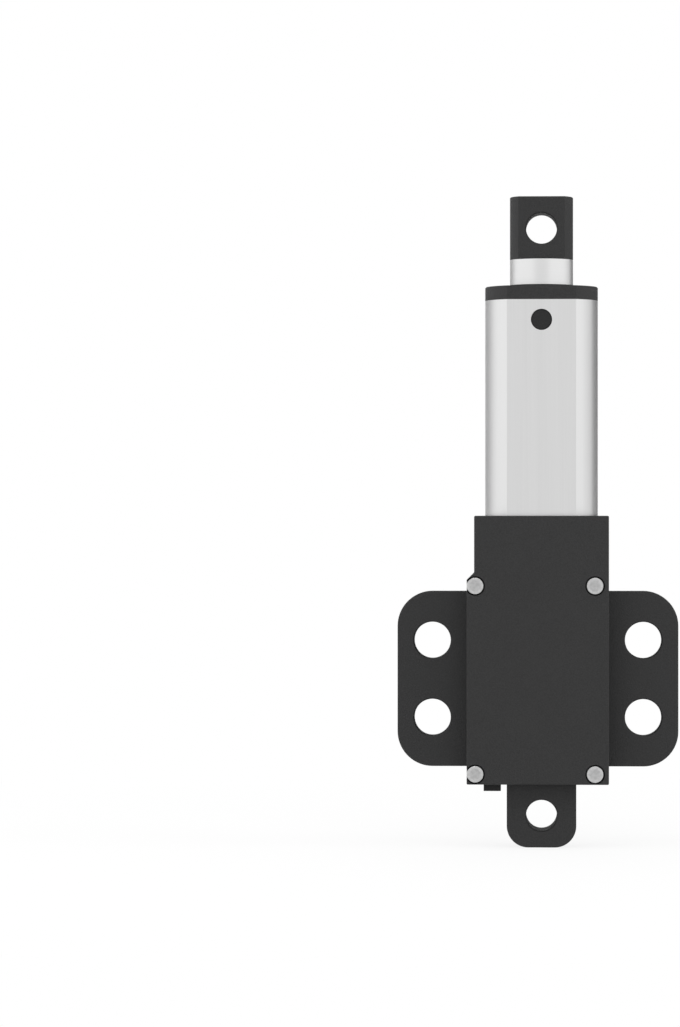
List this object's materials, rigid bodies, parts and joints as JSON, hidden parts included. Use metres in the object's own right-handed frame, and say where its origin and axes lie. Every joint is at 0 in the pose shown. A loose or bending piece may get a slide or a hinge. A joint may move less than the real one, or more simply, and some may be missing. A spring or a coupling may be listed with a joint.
{
  "type": "electric linear actuator",
  "caption": "Small electric linear actuator: black housing with drilled side wings and a tail eye, aluminium tube with flat sides and a sliding steel rod that ends in an eye.",
  "frame": {"origin": "middle of the tail eye's hole, on the rod's axis", "axes": "+X to the right seen from the front, +Y to the back along both eye holes, +Z along the rod the way it comes out"},
  "size_m": [0.0374, 0.0144, 0.0865],
  "materials": {
    "black_plastic": "moulded, fine satin",
    "satin_aluminium": "satin anodised extrusion",
    "polished_steel": "ground and polished",
    "bright_steel": "plain turned head",
    "dark_rubber": "matt",
    "lead_sleeve": "smooth sleeve",
    "acetal": "natural",
    "spring_brass": "plain",
    "board_laminate": "lacquered laminate",
    "copper": null,
    "machined_steel": "machined",
    "ferrite": "sintered",
    "cast_zinc": "die cast"
  },
  "bodies": {
    "housing": {"front_cover": "black_plastic", "rear_housing": "black_plastic", "housing_screws": "bright_steel", "tail_eye": "black_plastic", "lead_grommet": "dark_rubber", "supply_leads": "lead_sleeve", "link_lead": "lead_sleeve", "tube": "satin_aluminium", "end_cap": "black_plastic", "cap_pin": "black_plastic", "rod_wiper": "dark_rubber", "limit_board": "board_laminate", "limit_tracks": "copper", "motor_can": "machined_steel", "motor_end_cap": "acetal", "motor_terminals": "spring_brass", "motor_brushes": "spring_brass", "motor_bushes": "spring_brass", "motor_magnets": "ferrite", "motor_plate": "spring_brass", "output_plate": "spring_brass", "output_bush": "spring_brass", "gear_posts": "machined_steel", "gear_arbors": "machined_steel", "bearing_block": "cast_zinc", "bearing_outer_ring": "machined_steel"},
    "rotor": {"rotor_shaft": "machined_steel", "armature_core": "machined_steel", "armature_windings": "copper", "commutator": "copper", "motor_pinion": "spring_brass"},
    "idler_1": {"first_gear": "spring_brass"},
    "idler_2": {"second_gear": "spring_brass"},
    "idler_3": {"third_gear": "spring_brass"},
    "screw": {"lead_screw": "machined_steel", "output_gear": "spring_brass", "screw_clip": "machined_steel", "bearing_inner_ring": "machined_steel"},
    "ball_set": {"bearing_balls": "machined_steel", "ball_cage": "acetal"},
    "ram": {"rod": "polished_steel", "rod_end": "black_plastic", "drive_nut": "acetal", "wiper_brush": "spring_brass"}
  },
  "joints": [
    {"name": "rotor_spin", "type": "hinge", "parent": "housing", "child": "rotor", "pos_m": [0, 0, 0.0165], "axis": [0, 0, -1], "range_deg": [0, 205891]},
    {"name": "idler_1_spin", "type": "hinge", "parent": "housing", "child": "idler_1", "pos_m": [0.0026, -0.0015, 0.0258], "axis": [0, 0, -1], "range_deg": [-74870, 0]},
    {"name": "idler_2_spin", "type": "hinge", "parent": "housing", "child": "idler_2", "pos_m": [0.0026, 0.0015, 0.0273], "axis": [0, 0, -1], "range_deg": [0, 27226]},
    {"name": "idler_3_spin", "type": "hinge", "parent": "housing", "child": "idler_3", "pos_m": [0.0026, -0.0015, 0.0288], "axis": [0, 0, -1], "range_deg": [-9901, 0]},
    {"name": "screw_spin", "type": "hinge", "parent": "housing", "child": "screw", "pos_m": [0, 0, 0.033], "axis": [0, 0, -1], "range_deg": [0, 3601]},
    {"name": "ball_set_spin", "type": "hinge", "parent": "housing", "child": "ball_set", "pos_m": [0, 0, 0.033], "axis": [0, 0, -1], "range_deg": [0, 1441]},
    {"name": "rod_slide", "type": "slide", "parent": "housing", "child": "ram", "axis": [0, 0, 1], "range_m": [0, 0.02]}
  ],
  "couplings": [
    {"joint": "rotor_spin", "follows": "rod_slide", "rad_per_m": 179670},
    {"joint": "idler_1_spin", "follows": "rod_slide", "rad_per_m": -65335},
    {"joint": "idler_2_spin", "follows": "rod_slide", "rad_per_m": 23758},
    {"joint": "idler_3_spin", "follows": "rod_slide", "rad_per_m": -8639.4},
    {"joint": "screw_spin", "follows": "rod_slide", "rad_per_m": 3141.6},
    {"joint": "ball_set_spin", "follows": "rod_slide", "rad_per_m": 1256.6}
  ]
}
